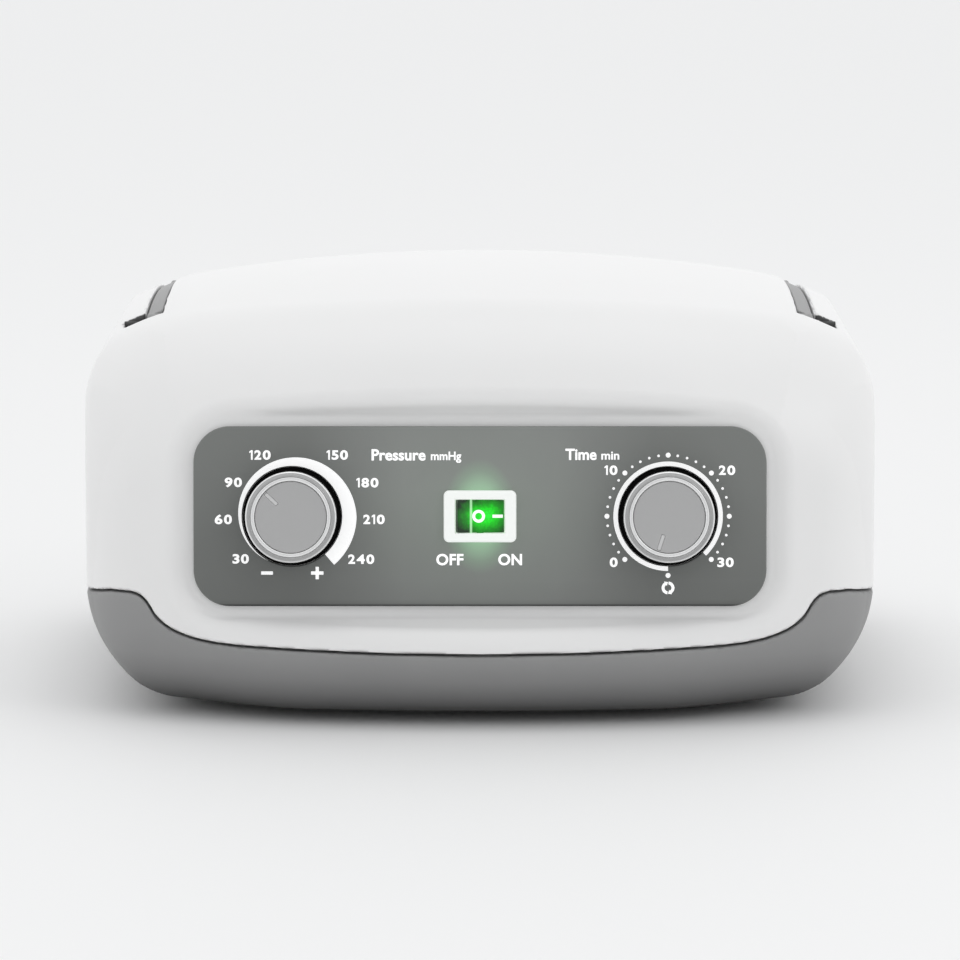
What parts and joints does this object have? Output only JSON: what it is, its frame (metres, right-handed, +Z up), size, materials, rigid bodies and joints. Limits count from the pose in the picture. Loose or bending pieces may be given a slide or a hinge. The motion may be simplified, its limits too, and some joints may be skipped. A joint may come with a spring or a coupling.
{
  "type": "compression therapy pump",
  "caption": "Table-top air pump for compression sleeves: domed hood on a bowl-shaped tray, sunken panel with two dials and a lit rocker switch, folding carry handle, rear air nozzles.",
  "frame": {"origin": "under the middle of the feet, on the table top", "axes": "+X to the right of the panel, +Y to the back, +Z up"},
  "size_m": [0.234, 0.191, 0.1252],
  "materials": {
    "hood": "white moulded ABS, satin",
    "tray": "grey moulded ABS, fine texture",
    "panel": "grey printed fascia, satin",
    "dial": "silver-grey satin plastic",
    "dial_face": "silver-grey satin plastic",
    "arm": "mid grey moulded plastic",
    "grip": "dark grey soft grip",
    "foot": "black rubber",
    "dark": "black moulded plastic",
    "felt": "off-white felt",
    "label": "bare foil",
    "steel": "zinc-plated steel",
    "lamination": "varnished laminations",
    "magnet": "dark sintered ferrite",
    "frame_metal": "die-cast",
    "copper": "enamelled copper wire",
    "brass": "plain brass",
    "cream": "cream moulded plastic",
    "natural": "natural white moulded plastic",
    "hose": "milky silicone tube",
    "rocker_green": "lit green translucent rocker",
    "lamp": "lit lamp"
  },
  "bodies": {
    "housing": {"upper_shell": "hood", "lower_tray": "tray", "rear_plate": "panel", "rating_plate": "label", "rubber_feet": "foot", "housing_screws": "steel", "filter_cover": "dark", "filter_felt": "felt", "front_panel": "panel", "seal_washers": "foot", "shaft_nuts": "steel", "switch_frame": "hood", "switch_lamp": "lamp", "switch_terminals": "brass", "regulator_body": "dark", "regulator_spring": "steel", "timer_case": "cream", "timer_terminals": "brass", "handle_pins": "steel", "compressor_mounts": "foot", "compressor_plate": "steel", "compressor_frame": "frame_metal", "compressor_cores": "lamination", "compressor_coils": "copper", "diaphragms": "foot", "pump_head_left": "dark", "pump_head_right": "dark", "distributor_body": "natural", "valve_motor": "steel", "outlet_nozzles": "natural", "outlet_hoses": "hose", "supply_hoses": "hose", "power_inlet": "dark", "inlet_pins": "brass", "fuse_holders": "dark", "terminal_block": "cream"},
    "pressure_dial": {"pressure_knob": "dial", "pressure_knob_cap": "dial_face", "regulator_shaft": "steel"},
    "regulator_slider": {"regulator_plunger": "brass"},
    "time_dial": {"time_knob": "dial", "time_knob_cap": "dial_face", "timer_shaft": "steel", "timer_cam": "brass"},
    "rocker": {"switch_rocker": "rocker_green"},
    "handle": {"handle_arm_left": "arm", "handle_arm_right": "arm", "handle_bar": "steel", "handle_grip": "grip"},
    "armature": {"compressor_armature": "steel", "compressor_magnets": "magnet"},
    "rotor": {"distributor_rotor": "cream", "distributor_gear": "natural"},
    "pinion": {"motor_pinion": "brass"}
  },
  "joints": [
    {"name": "pressure_dial_turn", "type": "hinge", "parent": "housing", "child": "pressure_dial", "pos_m": [-0.0543, -0.07866, 0.06], "axis": [0, 0.9903, -0.1392], "range_deg": [-88, 182]},
    {"name": "regulator_slide", "type": "slide", "parent": "housing", "child": "regulator_slider", "axis": [0, 0.9903, -0.1392], "range_m": [-0.00030555, 0.00063194], "deforming": ["regulator_spring"]},
    {"name": "time_dial_turn", "type": "hinge", "parent": "housing", "child": "time_dial", "pos_m": [0.0543, -0.07866, 0.06], "axis": [0, 0.9903, -0.1392], "range_deg": [-18, 297]},
    {"name": "rocker_tip", "type": "hinge", "parent": "housing", "child": "rocker", "pos_m": [0, -0.07965, 0.06014], "axis": [0, -0.1392, -0.9903], "range_deg": [0, 20]},
    {"name": "handle_swing", "type": "hinge", "parent": "housing", "child": "handle", "pos_m": [0, -0.028, 0.10802], "axis": [1, 0, 0], "range_deg": [0, 90]},
    {"name": "armature_slide", "type": "slide", "parent": "housing", "child": "armature", "axis": [1, 0, 0], "range_m": [-0.0025, 0.0025], "stiffness_N_per_m": 3000},
    {"name": "distributor_turn", "type": "hinge", "parent": "housing", "child": "rotor", "pos_m": [0.058, 0.006, 0.029], "axis": [0, 0, 1], "continuous": true},
    {"name": "pinion_turn", "type": "hinge", "parent": "housing", "child": "pinion", "pos_m": [0.058, -0.0181, 0.029], "axis": [0, 0, 1], "continuous": true}
  ],
  "couplings": [
    {"joint": "pressure_dial_turn", "follows": "regulator_slide", "rad_per_m": 5026.5},
    {"joint": "pinion_turn", "follows": "distributor_turn", "ratio": -3}
  ]
}
